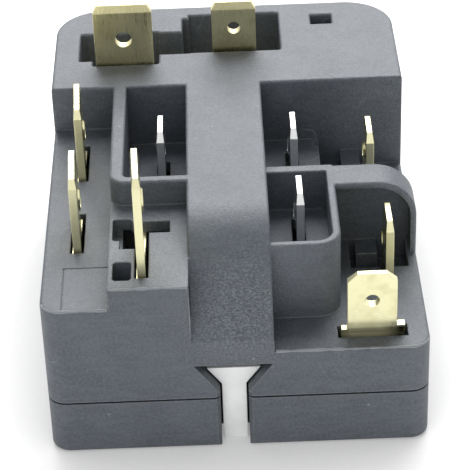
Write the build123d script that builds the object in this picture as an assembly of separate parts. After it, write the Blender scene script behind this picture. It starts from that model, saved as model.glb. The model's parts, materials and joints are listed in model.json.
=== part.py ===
from build123d import *
import math
import os

# Compressor start relay with an overload protector, in millimetres.
# It plugs onto the three terminal pins of a hermetic compressor with its flat underside.
# X runs to the right, Y to the back and Z up. The origin is the centre of the footprint on the underside.

# Columns of the case from left to right, and its rows from front to back
left_deck_width = 6.64
mid_deck_width = 7.68
spine_width = 8.0
pocket_width = 6.1
side_bay_width = 9.08
front_row = 19.7
rear_pocket_length = 13.65
block_depth = 17.65

# Case walls and corners
front_corner = 1.9
back_corner = 5.3
inner_corner = 0.4
wall = 1.4
roof = 1.3
partition = 1.2
edge_round = 0.3
foot_round = 0.5
seam_height = 0.2
seam_depth = 0.4

# Levels above the underside, and how far the decks and the guard lie below the block's top
cover_height = 6.2
cover_floor = 1.8
right_deck = 11.6
block_top = 22.4
left_deck_drop = 5.15
mid_deck_drop = 2.8
guard_drop = 2.2

# Spine: the raised back over the starter disc, with its sloping nose
nose_foot = 12.9
nose_angle = 54.4
nose_radius = 6.8

# Rear block and the wells of its two terminals
well_floor = 11.0
well_wall = 1.1
well_corner = 0.3
wide_well_left = 2.75
wide_well_width = 8.7
wide_well_step = 1.1
wide_well_step_width = 1.5
wide_well_back = 5.6
wide_well_length = 6.1
narrow_well_lap = 0.27
narrow_well_width = 10.76
narrow_well_back = 2.0
narrow_well_length = 8.6
narrow_well_notch = 0.7
well_link_back = 5.8
well_link_length = 4.9
vent_width = 2.3
vent_length = 2.1
vent_right = 6.75
vent_back = 2.9

# Left guard: the thin wall round the left pocket
guard_side = 1.4
guard_front = 1.1
guard_setback = 14.4
guard_corner = 1.6
left_pocket_floor = 15.1

# Right side: front pocket, rear pocket and hood
pocket_wall = 0.8
pocket_setback = 5.4
pocket_corner = 2.4
front_pocket_floor = 15.6
rear_pocket_floor = 15.0
hood_back_wall = 1.05
hood_length = 3.75
hood_radius = 4.2
hood_wall = 0.6
ledge_height = 1.9
ledge_width = 2.0
ledge_gap = 0.58
bay_recess_front = 13.5
bay_recess_depth = 2.6
bay_recess_left = 1.4
bay_recess_right = 0.95
bay_island_left = 0.7
bay_island_width = 2.2
bay_island_length = 2.65
pan_wall = 1.0

# Cut-outs of the middle deck, measured from its left edge and from the front
notch_left = 0.45
notch_width = 1.8
notch_front = 1.44
notch_length = 3.1
notch_depth = 3.0
deck_band_front = 9.42
deck_band_length = 2.05
deck_band_left = 0.3
deck_band_width = 5.65
deck_end_width = 1.9
deck_end_front = 1.25
deck_end_back = 0.5
deck_block_front = 6.73
deck_block_left = 1.0
deck_corner = 0.4

# Outline that the mould's insert leaves in the left deck
insert_inset = 2.05
insert_length = 7.2
insert_line = 0.12
insert_depth = 0.08

# Funnel slot in the front and its white key
slot_top = 10.15
slot_half = 3.87
slot_neck_half = 1.4
slot_neck_top = 6.8
slot_depth = 3.6
slot_backing = 0.9
slot_bevel = 0.35
key_setback = 1.45
key_top_gap = 1.4
key_gap = 0.2

# Spade terminals
large_blade = 6.3
small_blade = 4.8
brass = 0.8
tinned = 0.8
tip_corner = 0.5
small_tip_corner = 0.75
front_tip_corner = 1.0
tip_drop = 0.9
tip_bevel = 0.13
large_hole = 0.9
small_hole = 0.7
hole_drop = 4.1
small_hole_drop = 3.1
rim_rise = 0.2
rim_foot = 0.35
rim_crest = 0.15
left_turn = 2.5
slot_end_gap = 0.35
slot_side_gap = 0.28
slot_shift = 0.1
shoulder = 0.7
leg = 2.4

# Terminal places
left_tab_inset = 3.19
rear_left_tab_back = 3.78
front_left_tab_front = 10.1
left_blade_height = 8.15
left_strip_drop = 3.9
tall_tab_inset = 3.13
tall_tab_front = 2.1
tall_blade_height = 10.7
tall_plate_drop = 6.0
tall_plate_length = 11.2
tinned_rear_back = 4.05
start_rear_back = 2.95
start_front_tab = 11.8
tinned_tip = 21.5
start_rear_tip = 20.7
pocket_tab_inset = 4.1
pocket_tab_back = 4.25
pocket_tab_tip = 20.6
bay_tab_inset = 3.15
bay_tab_front = 10.8
bay_tab_tip = 18.5
wide_tab_inset = 7.79
wide_tab_back = 12.3
wide_tab_tip = 29.5
narrow_tab_shift = 1.43
narrow_tab_back = 9.8
narrow_tab_tip = 28.1
line_tab_inset = 5.6
line_tab_front = 2.5
line_tab_tip = 18.75
line_plate_width = 6.16
line_plate_shift = 0.1
line_plate_rise = 1.1
line_ear_step = 0.5
line_foot_rise = 0.9
line_foot_height = 1.0
line_foot_set_back = 0.55

# Compressor pins and the sleeves that grip them
pin_radius = 1.6
pin_gap = 0.25
pin_spacing = 9.9
pin_rise = 9.6
pin_shift = 0.25
pin_front = 5.95
sleeve_slit = 50
sleeve_height = 6.2
pin_boss_height = 1.0
pin_boss_wall = 0.9
pin_funnel = 0.8
terminal_strip_drop = 3.2
strap_foot = 0.7

# Starter disc and its two springs
disc_radius = 7.5
disc_thickness = 2.6
disc_chamfer = 0.3
disc_front = 13.2
disc_base = 3.5
disc_saddle_gap = 0.05
saddle_length = 8.0
saddle_height = 3.2
spring_thickness = 0.3
spring_half = 6.0
spring_lug = 0.8
spring_cross = 1.6
spring_slit_half = 4.5
spring_bottom = 7.0
spring_height = 6.4
spring_slit = 0.6
spring_tail_lead = 1.7

# Overload protector
protector_pin_gap = 1.53
protector_side_gap = 0.25
protector_back_gap = 1.9
protector_length = 13.4
protector_thick = 3.0
protector_corner = 1.5
protector_gap = 0.1
rib_thick = 0.7
contact_radius = 1.3
contact_thick = 0.6
moving_contact_thick = 0.7
strip = 0.6
strip_margin = 0.4
snap_disc_margin = 0.5
snap_disc_rim = 1.6
snap_disc_thick = 0.35
snap_disc_rise = 0.35
snap_disc_dish = 2.8
stud_radius = 1.1
stud_seat_radius = 1.7
stud_seat_thick = 0.6
stud_slot = 0.4
stud_slot_depth = 0.4
stud_end = 0.3
nut_across = 4.0
nut_height = 1.4
heater_ribbon = 0.3
heater_height = 1.1
heater_pitch = 1.1
heater_margin = 1.0
heater_lead = 0.6

# Line bus under the right deck, and the snaps that hold the cover
bus_width = 4.0
bus_inset = 6.55
bus_gap = 0.1
bus_support = 1.6
snap_width = 6.0
snap_thick = 0.7
snap_reach = 3.0
snap_gap = 0.1
snap_barb = 0.45
snap_front = -17.0
snap_rear = 4.5

# Places that follow from the sizes above
width = left_deck_width + mid_deck_width + spine_width + pocket_width + side_bay_width
depth = front_row + rear_pocket_length + block_depth
front = -depth / 2
back = depth / 2
left = -width / 2
right = width / 2
mid_left = left + left_deck_width
spine_left = mid_left + mid_deck_width
spine_right = spine_left + spine_width
spine_x = (spine_left + spine_right) / 2
block_face = back - block_depth
guard_face = front + guard_setback
pocket_right = spine_right + pocket_width
hood_back = block_face - rear_pocket_length
hood_front = hood_back - hood_length
left_deck = block_top - left_deck_drop
mid_deck = block_top - mid_deck_drop
guard_top = block_top - guard_drop
over = 1.0
fit_gap = 0.02
tiny = 0.0001

# Terminal places that follow from the case and the pins
left_tab_x = left + left_tab_inset
left_tab_fronts = (front + front_left_tab_front, block_face - rear_left_tab_back - large_blade)
tall_tab_x = mid_left + tall_tab_inset
pin_reach = pin_radius + tinned / 2
pin_x = spine_x + pin_shift
pin_y = block_face - pin_front
run_pin = (pin_x - pin_spacing / 2, pin_y)
start_pin = (pin_x + pin_spacing / 2, pin_y)
common_pin = (pin_x, pin_y + pin_rise)
run_x = run_pin[0] - pin_reach
start_x = start_pin[0] + pin_reach
common_y = common_pin[1] + pin_reach
run_front = block_face - tinned_rear_back - small_blade
spring_tail_y = run_front - spring_tail_lead
large_tip = (large_hole, hole_drop, tip_corner)
small_tip = (small_hole, small_hole_drop, small_tip_corner)
start_blades = ((front + start_front_tab, front_pocket_floor, tinned_tip),
                (block_face - start_rear_back - small_blade, rear_pocket_floor, start_rear_tip))
pocket_tab_front = block_face - pocket_tab_back - small_blade
bay_underside = right_deck - bay_recess_depth - pan_wall
wide_tab_x = left + wide_tab_inset
wide_tab_plane = back - wide_tab_back
narrow_tab_x = spine_x + narrow_tab_shift
narrow_tab_plane = back - narrow_tab_back
pocket_tab_x = right - pocket_tab_inset
bay_tab_x = right - bay_tab_inset
line_tab_x = right - line_tab_inset
bus_left = right - bus_inset
line_tab_plane = front + line_tab_front
line_foot_plane = line_tab_plane + line_foot_set_back
well_underside = well_floor - well_wall

# Levels of the inner pieces
boss_top = cover_floor + pin_boss_height
protector_top = cover_floor + protector_thick
bus_bottom = protector_top - brass
fold_top = protector_top + brass
strip_top = protector_top + strip
contact_top = strip_top + contact_thick
snap_disc_bottom = contact_top + moving_contact_thick
disc_centre = (spine_x, front + disc_front, disc_base + disc_radius)
protector_left = common_pin[0] + pin_radius + pin_gap + pin_boss_wall + protector_pin_gap
protector_right = right - wall - protector_side_gap
protector_width = protector_right - protector_left
protector_centre = ((protector_left + protector_right) / 2,
                    back - wall - protector_back_gap - protector_length / 2)
bus_end = protector_centre[1] - protector_length / 2 - bus_gap
snap_disc_radius = protector_width / 2 - snap_disc_margin
contact_offset = snap_disc_radius - snap_disc_rim
heater_width = protector_width / 2 - contact_radius - strip_margin - heater_lead - heater_margin


def block(x0, x1, y0, y1, z0, z1):
    """Upright block between two corners."""
    centre = Pos((x0 + x1) / 2, (y0 + y1) / 2, (z0 + z1) / 2)
    return centre * Box(x1 - x0, y1 - y0, z1 - z0)


def cornered_block(x0, x1, y0, y1, z0, z1, corner, radius):
    """Upright block with the plan corner nearest to a given point rounded."""
    plan = Pos((x0 + x1) / 2, (y0 + y1) / 2) * Rectangle(x1 - x0, y1 - y0)
    plan = fillet(plan.vertices().sort_by_distance((*corner, 0))[0], radius)
    return Pos(0, 0, z0) * extrude(plan, z1 - z0)


def rounded_block(x0, x1, y0, y1, z0, z1, radius):
    """Upright block with its four plan corners rounded."""
    plan = Pos((x0 + x1) / 2, (y0 + y1) / 2) * RectangleRounded(x1 - x0, y1 - y0, radius)
    return Pos(0, 0, z0) * extrude(plan, z1 - z0)


def along_y(points, y0, y1):
    """Closed outline of x and z points, drawn out from y0 to y1."""
    outline = make_face(Polyline(*[(x, y0, z) for x, z in points], close=True))
    return extrude(outline, y1 - y0, dir=(0, 1, 0))


def along_x(points, x0, x1):
    """Closed outline of y and z points, drawn out from x0 to x1."""
    outline = make_face(Polyline(*[(x0, y, z) for y, z in points], close=True))
    return extrude(outline, x1 - x0, dir=(1, 0, 0))


def level_edges(shape, value, axis):
    """Edges of a shape that lie wholly at one value of an axis."""
    boxes = [(edge, edge.bounding_box()) for edge in shape.edges()]
    return [edge for edge, box in boxes if abs(getattr(box.min, axis) - value) < tiny
            and abs(getattr(box.max, axis) - value) < tiny]


def footprint(inset=0.0):
    """Plan of the case: small corners at the front, large ones at the back."""
    plan = Rectangle(width - 2 * inset, depth - 2 * inset)
    plan = fillet(plan.vertices().group_by(Axis.Y)[0], max(front_corner - inset, inner_corner))
    return fillet(plan.vertices().group_by(Axis.Y)[-1], back_corner - inset)


def prism(z0, z1, inset=0.0):
    """The footprint drawn up from z0 to z1."""
    return Pos(0, 0, z0) * extrude(footprint(inset), z1 - z0)


def spine_profile(inset):
    """Side view of the spine, moved in by a wall: a straight nose that rolls over onto the top."""
    slope = math.radians(nose_angle)
    top = block_top - inset
    shift = inset / math.sin(slope)
    bend_z = nose_foot + (inset - shift) * math.tan(slope)
    break_y = front + shift + (top - nose_foot) / math.tan(slope)
    end = block_face + wall + over
    corners = [(front + inset, cover_height - over), (front + inset, bend_z),
               (break_y, top), (end, top), (end, cover_height - over)]
    face = make_face(Polyline(*[(0, y, z) for y, z in corners], close=True))
    rolled = face.vertices().sort_by_distance((0, break_y, top))[0]
    return fillet(rolled, nose_radius - inset)


def spine(inset, x0, x1):
    """The spine's side view drawn out from x0 to x1."""
    return Pos(x0, 0, 0) * extrude(spine_profile(inset), x1 - x0, dir=(1, 0, 0))


def funnel_outline(half, top, neck_half, neck_top, foot):
    """Front view of the funnel slot or its key: a wide head that narrows to a straight neck."""
    return [(spine_x - half, top), (spine_x + half, top), (spine_x + neck_half, neck_top),
            (spine_x + neck_half, foot), (spine_x - neck_half, foot), (spine_x - neck_half, neck_top)]


def funnel_slot():
    """The slot that runs down through the front of the housing and cover."""
    outline = funnel_outline(slot_half, slot_top, slot_neck_half, slot_neck_top, -over)
    slot = along_y(outline, front - over, front + slot_depth)
    bevel_half = slot_neck_half + slot_bevel
    lip = [(spine_x - bevel_half, front - over), (spine_x - bevel_half, front),
           (spine_x - slot_neck_half, front + slot_bevel), (spine_x + slot_neck_half, front + slot_bevel),
           (spine_x + bevel_half, front), (spine_x + bevel_half, front - over)]
    lip_face = make_face(Polyline(*[(x, y, -over) for x, y in lip], close=True))
    return slot + extrude(lip_face, slot_neck_top + over, dir=(0, 0, 1))


def hood_solid(inset, y0, y1, floor):
    """The hood's outer form, or its hollow when moved in by its wall."""
    x0, x1, top = pocket_right, right - inset, guard_top - inset
    form = block(x0, x1, y0, y1, floor, top)
    edge = form.edges().filter_by(Axis.Y).sort_by_distance((x1, (y0 + y1) / 2, top))[0]
    return fillet(edge, hood_radius - inset)


def hood():
    """The hood with its front and back rims rounded."""
    form = hood_solid(0, hood_front, hood_back, right_deck - roof)
    rims = [edge for y in (hood_front, hood_back) for edge in level_edges(form, y, "Y")
            if (edge @ 0.5).Z > guard_top - hood_radius]
    return fillet(rims, edge_round)


def pocket_tower():
    """The round-cornered tower of the front pocket, with its outer rim rounded."""
    x1, y0 = pocket_right + pocket_wall, front + pocket_setback
    tower = cornered_block(spine_right, x1, y0, hood_back, cover_height, guard_top, (x1, y0), pocket_corner)
    rim = [edge for edge in level_edges(tower, guard_top, "Z")
           if (edge @ 0.5).Y < hood_back - tiny and (edge @ 0.5).X > spine_right + tiny]
    return fillet(rim, edge_round)


def outer_forms():
    """Everything that stands on the slab, before it is hollowed."""
    low = cover_height
    forms = prism(low, right_deck)
    forms = fillet(forms.faces().sort_by(Axis.Z)[-1].edges(), edge_round)
    forms += block(left, mid_left + over, front, block_face + over, low, left_deck)
    forms += block(mid_left, spine_left, front, guard_face + over, low, mid_deck)
    forms += cornered_block(mid_left, spine_x, guard_face, block_face + over, low, block_top,
                            (mid_left, guard_face), guard_corner)
    forms += spine(0, spine_left, spine_right)
    forms += block(left, right, block_face, back, low, block_top)
    forms += pocket_tower() + hood()
    forms += block(spine_right, pocket_right, hood_back - over, block_face + over, low, rear_pocket_floor)
    ledge_x = pocket_tab_x - ledge_gap
    forms += block(ledge_x - ledge_width, ledge_x, hood_back - over, block_face + over,
                   low, right_deck + ledge_height)
    return forms & prism(low, block_top + over)


def pockets():
    """Open spaces cut from above and from the front."""
    high = block_top + over
    spaces = cornered_block(mid_left + guard_side, spine_left, guard_face + guard_front, block_face,
                            left_pocket_floor, high, (mid_left + guard_side, guard_face + guard_front),
                            guard_corner - guard_front)
    inner_front = front + pocket_setback + pocket_wall
    spaces += cornered_block(spine_right, pocket_right, inner_front, hood_back - hood_back_wall,
                             front_pocket_floor, high, (pocket_right, inner_front),
                             pocket_corner - pocket_wall)
    bay = hood_solid(hood_wall, hood_front - over, hood_back - hood_back_wall, right_deck)
    spaces += bay & block(pocket_right + pocket_wall, right, front, back, right_deck, high)
    return spaces


def hollow():
    """Space inside the upper housing, open downwards at the parting plane."""
    low = cover_height - over
    x0, x1, y0, y1 = left + wall, right - wall, front + wall, back - wall
    behind = block_face + wall
    space = block(x0, mid_left, y0, behind + over, low, left_deck - roof)
    space += block(mid_left - over, spine_left, y0, behind + over, low, left_pocket_floor - roof)
    space += block(mid_left + partition, spine_left, y0, guard_face, low, mid_deck - roof)
    space += block(spine_right, x1, y0, behind + over, low, right_deck - roof)
    space += block(spine_right, pocket_right, front + pocket_setback + pocket_wall, hood_front,
                   low, front_pocket_floor - roof)
    space += block(spine_right, pocket_right - partition, hood_front - over, hood_back,
                   low, front_pocket_floor - roof)
    space += block(spine_right, pocket_right - partition, hood_back - over, behind + over,
                   low, rear_pocket_floor - roof)
    space += block(x0, x1, behind, y1, low, block_top - roof)
    space = space & prism(low, block_top, wall)
    return space + spine(wall, spine_left + partition, spine_right - partition)


def terminal_slot(x, thickness, y0, y1, z0, z1, side):
    """Slot in a deck for a blade that stands edge on, with more room on one side of the blade."""
    half = thickness / 2 + slot_side_gap
    centre = x + side * slot_shift
    return block(centre - half, centre + half, y0 - slot_end_gap, y1 + slot_end_gap, z0, z1)


def facing_slot(x, y, blade_width, thickness, z0, z1):
    """Slot in a floor for a blade that faces the front."""
    half, reach = thickness / 2 + slot_side_gap, blade_width / 2 + slot_end_gap
    return block(x - reach, x + reach, y - half, y + half, z0, z1)


def well_plans():
    """Plan corners of the wells: the wide one with its step, the channel, and the narrow one."""
    wide_x0 = left + wide_well_left
    wide_x1 = wide_x0 + wide_well_width
    wide_y1 = back - wide_well_back
    wide_y0 = wide_y1 - wide_well_length
    narrow_x0 = spine_left - narrow_well_lap
    narrow_y1 = back - narrow_well_back
    link_y1 = back - well_link_back
    return [(wide_x0, wide_x1, wide_y0, wide_y1),
            (wide_x0 + wide_well_step_width, wide_x1, wide_y0 - wide_well_step, wide_y1),
            (wide_x1 - over, narrow_x0 + over, link_y1 - well_link_length, link_y1),
            (narrow_x0, narrow_x0 + narrow_well_width, narrow_y1 - narrow_well_length, narrow_y1)]


def wells():
    """The two deep wells of the rear block and the channel between them."""
    high = block_top + over
    spaces = Part() + [rounded_block(*plan, well_floor, high, well_corner) for plan in well_plans()]
    x0, _, _, y1 = well_plans()[-1]
    return spaces - block(x0 - over, x0 + narrow_well_notch, y1 - narrow_well_notch, y1 + over,
                          well_floor - over, high + over)


def well_walls():
    """Material that lines the wells inside the block."""
    last = back - wall / 2
    walls = [block(x0 - well_wall, x1 + well_wall, y0 - well_wall, min(y1 + well_wall, last),
                   well_underside, block_top - roof / 2) for x0, x1, y0, y1 in well_plans()]
    return Part() + walls


def deck_cutouts():
    """Openings of the middle deck: a band with a wide left end, the tall tab's slot and a blind notch."""
    low, high = mid_deck - roof - over / 2, mid_deck + over
    band_x = mid_left + deck_band_left
    band_y0 = front + deck_band_front
    band_y1 = band_y0 + deck_band_length
    cuts = block(band_x + deck_end_width / 2, band_x + deck_band_width, band_y0, band_y1, low, high)
    cuts += rounded_block(band_x, band_x + deck_end_width, band_y0 - deck_end_front, band_y1 + deck_end_back,
                          low, high, deck_corner)
    cuts += block(mid_left + deck_block_left, tall_tab_x, front + deck_block_front, band_y0 + over, low, high)
    cuts += terminal_slot(tall_tab_x, brass, front + tall_tab_front, band_y0, low, high, 1)
    notch_x, notch_y = mid_left + notch_left, front + notch_front
    return cuts + rounded_block(notch_x, notch_x + notch_width, notch_y, notch_y + notch_length,
                                mid_deck - notch_depth, high, deck_corner)


def insert_outline():
    """Fine line in the left deck, along the left side and the back of the mould's insert."""
    x0, y1 = left + insert_inset, front + insert_length
    low, high = left_deck - insert_depth, left_deck + over
    return (block(x0, mid_left, front - over, y1, low, high)
            - block(x0 + insert_line, mid_left, front - over, y1 - insert_line, low, high))


def notch_cup():
    """Walls and floor behind the blind notch of the middle deck."""
    x0, y0 = mid_left + notch_left, front + notch_front
    return block(mid_left + notch_left / 2, x0 + notch_width + slot_side_gap, front + wall / 2,
                 y0 + notch_length + pan_wall, mid_deck - notch_depth - pan_wall, mid_deck - roof / 2)


def bay_recess():
    """The lowered floor under the hood, with an island left at deck level."""
    x0, x1 = pocket_right + pocket_wall + bay_recess_left, right - bay_recess_right
    y0, y1 = front + bay_recess_front, hood_back - hood_back_wall
    recess = block(x0, x1, y0, y1, right_deck - bay_recess_depth, right_deck + over / 2)
    island_x = x0 + bay_island_left
    return recess - block(island_x, island_x + bay_island_width, y1 - bay_island_length, y1,
                          right_deck - bay_recess_depth, right_deck)


def bay_pan():
    """Walls and floor of the lowered bay, inside the housing."""
    x0, x1 = pocket_right + pocket_wall + bay_recess_left, right - bay_recess_right
    y0, y1 = front + bay_recess_front, hood_back - hood_back_wall
    return block(x0 - pan_wall, x1 + pan_wall / 2, y0 - pan_wall, y1 + pan_wall,
                 right_deck - bay_recess_depth - pan_wall, right_deck - roof / 2)


def slots():
    """Every slot that a terminal passes up through."""
    cuts = Part()
    for y0 in left_tab_fronts:
        cuts += terminal_slot(left_tab_x, brass, y0, y0 + large_blade, left_deck - roof - over / 2,
                              left_deck + over, 1)
    cuts += terminal_slot(run_x, tinned, run_front, run_front + small_blade,
                          left_pocket_floor - roof - over / 2, left_pocket_floor + over / 2, 1)
    for y0, floor, _ in start_blades:
        cuts += terminal_slot(start_x, tinned, y0, y0 + small_blade, floor - roof - over / 2,
                              floor + over / 2, -1)
    for x, y0, low in ((pocket_tab_x, pocket_tab_front, right_deck - roof),
                       (bay_tab_x, front + bay_tab_front, bay_underside)):
        cuts += terminal_slot(x, brass, y0, y0 + small_blade, low - over / 2, right_deck + over / 2, -1)
    for x, y, size in ((wide_tab_x, wide_tab_plane, large_blade),
                       (narrow_tab_x, narrow_tab_plane, small_blade)):
        cuts += facing_slot(x, y, size, brass, well_underside - over, well_floor + over)
    return cuts + facing_slot(line_tab_x + line_plate_shift, line_tab_plane + line_foot_set_back / 2,
                              line_plate_width, brass + line_foot_set_back, right_deck - roof - over,
                              right_deck + over)


def snap_places():
    """Side and Y place of each of the four cover snaps."""
    return [(side, y) for side in (-1, 1) for y in (snap_front, snap_rear)]


def snap_windows():
    """Hollows in the side walls that the cover's barbs spring into."""
    cuts = Part()
    for side, y in snap_places():
        x0 = side * (width / 2 - wall - over / 2)
        x1 = side * (width / 2 - wall + snap_barb + snap_gap)
        z1 = cover_height + snap_reach + snap_gap
        cuts += block(min(x0, x1), max(x0, x1), y - snap_width / 2 - snap_gap, y + snap_width / 2 + snap_gap,
                      z1 - 2 * snap_barb - 2 * snap_gap, z1)
    return cuts


def housing():
    """Upper housing: one moulding, hollow from below."""
    body = outer_forms() - hollow()
    body += block(spine_left - slot_backing, spine_right + slot_backing, front + wall / 2,
                  front + slot_depth + slot_backing, cover_height, slot_top + slot_backing)
    body += (well_walls() + notch_cup() + bay_pan()) & prism(cover_height, block_top, wall / 2)
    for x0, floor in ((spine_left, left_pocket_floor), (spine_right - partition, rear_pocket_floor)):
        body -= block(x0, x0 + partition, spring_tail_y - over, block_face + wall,
                      cover_height - over, floor - roof)
    vent_x1, vent_y1 = right - vent_right, back - vent_back
    vent = block(vent_x1 - vent_width, vent_x1, vent_y1 - vent_length, vent_y1, block_top - roof - over,
                 block_top + over)
    for opening in (pockets(), wells(), deck_cutouts(), bay_recess(), slots(), vent, snap_windows(),
                    funnel_slot()):
        body -= opening
    return rounded_rims(body) - insert_outline()


def on_outside(edge):
    """Whether the middle of an edge lies on the front or the left side of the case."""
    middle = edge @ 0.5
    return middle.Y < front + front_corner / 2 or middle.X < left + tiny


def rounded_rims(body):
    """The housing with the rims of its left decks, block and front pocket softened as a moulding's are."""
    body = fillet(level_edges(body, block_top, "Z"), edge_round)
    for deck in (mid_deck, left_deck):
        body = fillet([edge for edge in level_edges(body, deck, "Z") if on_outside(edge)], edge_round)
    inner_front = front + pocket_setback + pocket_wall
    inner_rim = [edge for edge in level_edges(body, guard_top, "Z")
                 if spine_right + tiny < (edge @ 0.5).X < pocket_right + tiny
                 and inner_front - tiny < (edge @ 0.5).Y < hood_back - tiny]
    return fillet(inner_rim, edge_round / 2)


def base_cover():
    """Lower cover: a tray that carries the pins' bosses, the starter disc's saddle and the protector."""
    shell = prism(0, cover_height)
    shell = fillet(shell.faces().sort_by(Axis.Z)[0].edges(), foot_round)
    shell -= prism(cover_floor, cover_height + over, wall)
    shell -= prism(cover_height - seam_height, cover_height) - prism(0, cover_height, seam_depth)
    neck_wall, neck_end = slot_neck_half + slot_backing, front + slot_depth + slot_backing
    root = cover_floor / 2
    shell += block(spine_x - neck_wall, spine_x + neck_wall, front + wall / 2, neck_end, root, cover_height)
    hole = pin_radius + pin_gap
    for x, y in (run_pin, start_pin, common_pin):
        shell += Pos(x, y, (root + boss_top) / 2) * Cylinder(hole + pin_boss_wall, boss_top - root)
    shell += disc_saddle() + cover_ribs() + cover_snaps()
    for x, y in (run_pin, start_pin, common_pin):
        shell -= Pos(x, y, boss_top / 2) * Cylinder(hole, boss_top + over)
        shell -= Pos(x, y, pin_funnel / 2) * Cone(hole + pin_funnel, hole, pin_funnel)
    return shell - funnel_slot()


def disc_saddle():
    """Cradle under the upright starter disc."""
    x, y, z = disc_centre
    half = disc_thickness / 2
    saddle = block(x - half, x + half, y - saddle_length / 2, y + saddle_length / 2, cover_floor / 2,
                   cover_floor + saddle_height)
    seat = Cylinder(disc_radius + disc_saddle_gap, disc_thickness + over)
    return saddle - Pos(x, y, z) * Rot(0, 90, 0) * seat


def cover_ribs():
    """Ribs on the cover's floor that hold up the bus and keep the protector in place."""
    bus_x0, bus_x1, low = bus_left, bus_left + bus_width, cover_floor / 2
    ribs = Part()
    for y in (front + bay_tab_front + small_blade / 2, pocket_tab_front + small_blade / 2):
        ribs += block(bus_x0, bus_x1, y - bus_support / 2, y + bus_support / 2, low, bus_bottom)
    y, stop = protector_centre[1], protector_length / 2 + protector_gap
    ribs += block(protector_left, protector_right, y - stop - rib_thick, y - stop, low, bus_bottom)
    return ribs + block(protector_left, protector_right, y + stop, y + stop + rib_thick, low, boss_top)


def cover_snaps():
    """Four upright tongues with barbs that spring into the housing's side walls."""
    face = width / 2 - wall - snap_gap
    top = cover_height + snap_reach
    profile = [(face - snap_thick, cover_floor / 2), (face + snap_gap + snap_barb, cover_floor / 2),
               (face + snap_gap + snap_barb, cover_height - snap_barb), (face, cover_height - snap_barb),
               (face, top - 2 * snap_barb), (face + snap_barb, top - 2 * snap_barb), (face, top),
               (face - snap_thick, top)]
    tongue = along_y(profile, -snap_width / 2, snap_width / 2)
    other = mirror(tongue, Plane.YZ)
    return Part() + [Pos(0, y, 0) * (tongue if side > 0 else other) for side, y in snap_places()]


def slot_key():
    """White key that stands in the funnel slot, set back from the front."""
    flare = (slot_half - slot_neck_half) / (slot_top - slot_neck_top)
    key_top = slot_top - key_top_gap
    neck_half = slot_neck_half - key_gap
    head_half = neck_half + (key_top - slot_neck_top) * flare
    outline = funnel_outline(head_half, key_top, neck_half, slot_neck_top, 0)
    return along_y(outline, front + key_setback, front + slot_depth)


def blade(blade_width, thickness, root, tip, hole, drop, corner=tip_corner):
    """Spade blade with a clipped and bevelled tip, and its hole's punched rim on the back."""
    half, flat = blade_width / 2, thickness / 2
    face = [(-half, root), (-half, tip - tip_drop), (-half + corner, tip), (half - corner, tip),
            (half, tip - tip_drop), (half, root)]
    edge = [(-flat, root), (-flat, tip - tip_drop), (-flat + tip_bevel, tip), (flat - tip_bevel, tip),
            (flat, tip - tip_drop), (flat, root)]
    plate = along_y(face, -flat, flat) & along_x(edge, -half, half)
    rim = Rot(-90, 0, 0) * Cone(hole + rim_foot, hole + rim_crest, rim_rise)
    plate += Pos(0, flat + rim_rise / 2, tip - drop) * rim
    return plate - Pos(0, 0, tip - drop) * Rot(90, 0, 0) * Cylinder(hole, thickness + over)


def edge_on_blade(x, y0, size, thickness, root, deck, tip, rim_side=-1, turn=0):
    """Blade turned edge on. Its rim looks to one side, and above its root it may be turned a little."""
    hole, drop, corner = large_tip if size == large_blade else small_tip
    upright = blade(size, thickness, -thickness, tip - deck, hole, drop, corner)
    foot = block(x - thickness / 2, x + thickness / 2, y0, y0 + size, root, deck - thickness / 2)
    return Pos(x, y0 + size / 2, deck) * Rot(0, 0, turn - 90 * rim_side) * upright + foot


def side_plate(x, thickness, y0, y1, z0, z1):
    """Flat upright plate whose face looks to the side."""
    return block(x - thickness / 2, x + thickness / 2, y0, y1, z0, z1)


def left_terminal_strip():
    """Blanked brass strip under the left deck with two blades and two legs."""
    top = left_deck - roof
    y0, y1 = left_tab_fronts[0] - shoulder, left_tab_fronts[1] + large_blade + shoulder
    strip_plate = side_plate(left_tab_x, brass, y0, y1, top - left_strip_drop, top)
    for leg_y in (y0, y1 - leg):
        strip_plate += side_plate(left_tab_x, brass, leg_y, leg_y + leg, cover_floor, top - left_strip_drop)
    for y in left_tab_fronts:
        strip_plate += edge_on_blade(left_tab_x, y, large_blade, brass, top, left_deck,
                                     left_deck + left_blade_height, 1, left_turn)
    return strip_plate


def tall_terminal():
    """Tall brass blade through the middle deck."""
    top = mid_deck - roof
    y0 = front + tall_tab_front
    low = top - tall_plate_drop
    plate = side_plate(tall_tab_x, brass, y0 - shoulder, y0 - shoulder + tall_plate_length, low, top)
    plate += side_plate(tall_tab_x, brass, y0 + leg, y0 + 2 * leg, cover_floor, low)
    return plate + edge_on_blade(tall_tab_x, y0, large_blade, brass, top, mid_deck,
                                 mid_deck + tall_blade_height, 1, left_turn)


def pin_sleeve(place, turn):
    """Rolled spring sleeve that grips one compressor pin, with its slit turned to an angle."""
    outer = pin_radius + tinned
    ring = Cylinder(outer, sleeve_height) - Cylinder(pin_radius, sleeve_height)
    side = 2 * outer * math.sin(math.radians(sleeve_slit / 2))
    wedge = make_face(Polyline((0, 0), (2 * outer, -side), (2 * outer, side), close=True))
    cut = Pos(0, 0, -sleeve_height) * extrude(wedge, 2 * sleeve_height)
    return Pos(*place, boss_top + sleeve_height / 2) * (Rot(0, 0, turn) * (ring - cut))


def run_terminal():
    """Tinned terminal of the run pin: sleeve, upright plate and blade in the left pocket."""
    top = left_pocket_floor - roof
    plate = side_plate(run_x, tinned, run_front - shoulder, run_front + small_blade + shoulder, boss_top, top)
    plate += pin_sleeve(run_pin, 0)
    return plate + edge_on_blade(run_x, run_front, small_blade, tinned, top, left_pocket_floor, tinned_tip)


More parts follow.
